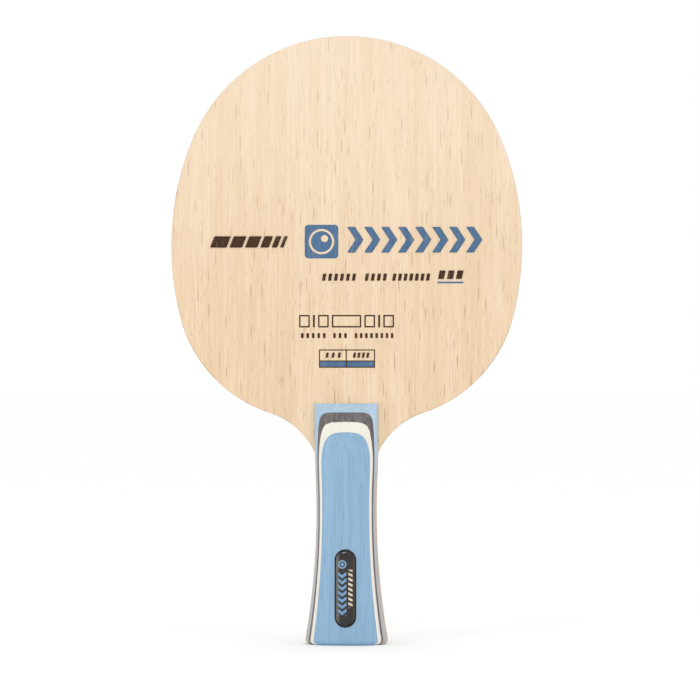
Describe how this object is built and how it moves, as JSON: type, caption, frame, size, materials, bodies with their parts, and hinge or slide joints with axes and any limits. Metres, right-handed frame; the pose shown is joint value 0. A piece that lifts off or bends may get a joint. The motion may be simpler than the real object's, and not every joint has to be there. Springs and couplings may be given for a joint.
{
  "type": "table tennis paddle",
  "caption": "Bare table tennis blade: an oval plywood head with carbon plies, and a flared handle with laminated blue scales and a domed badge.",
  "frame": {"origin": "centre of the handle's butt, on the blade's middle plane", "axes": "+Z from the butt to the tip of the head, -Y out of the front face, which carries the badge, +X to the right seen from the front"},
  "size_m": [0.15, 0.024, 0.2597],
  "materials": {
    "outer_veneer": "pale straight-grained veneer, sanded and sealed",
    "inner_veneer": "light brown veneer, seen on its edge",
    "core": "pale light core wood, seen on its edge",
    "carbon": "resin-bonded spread-tow carbon cloth",
    "blue_wood": "blue-dyed wood, sanded satin",
    "dark_wood": "dark grey-brown dyed wood, sanded satin",
    "white_wood": "bleached white wood, sanded satin",
    "badge_tray": "glossy black",
    "badge_foil": "dark brown metallised foil",
    "badge_dome": "clear cast resin",
    "dark_ink": "dark brown screen print",
    "blue_ink": "blue screen print"
  },
  "bodies": {
    "root": {"core_ply": "core", "front_inner_veneer": "inner_veneer", "back_inner_veneer": "inner_veneer", "front_carbon_ply": "carbon", "back_carbon_ply": "carbon", "front_outer_veneer": "outer_veneer", "back_outer_veneer": "outer_veneer", "front_scale_base": "blue_wood", "front_scale_dark": "dark_wood", "front_scale_white": "white_wood", "front_scale_top": "blue_wood", "back_scale_base": "blue_wood", "back_scale_dark": "dark_wood", "back_scale_white": "white_wood", "back_scale_top": "blue_wood", "badge_tray": "badge_tray", "badge_foil": "badge_foil", "badge_dome": "badge_dome"}
  },
  "joints": []
}
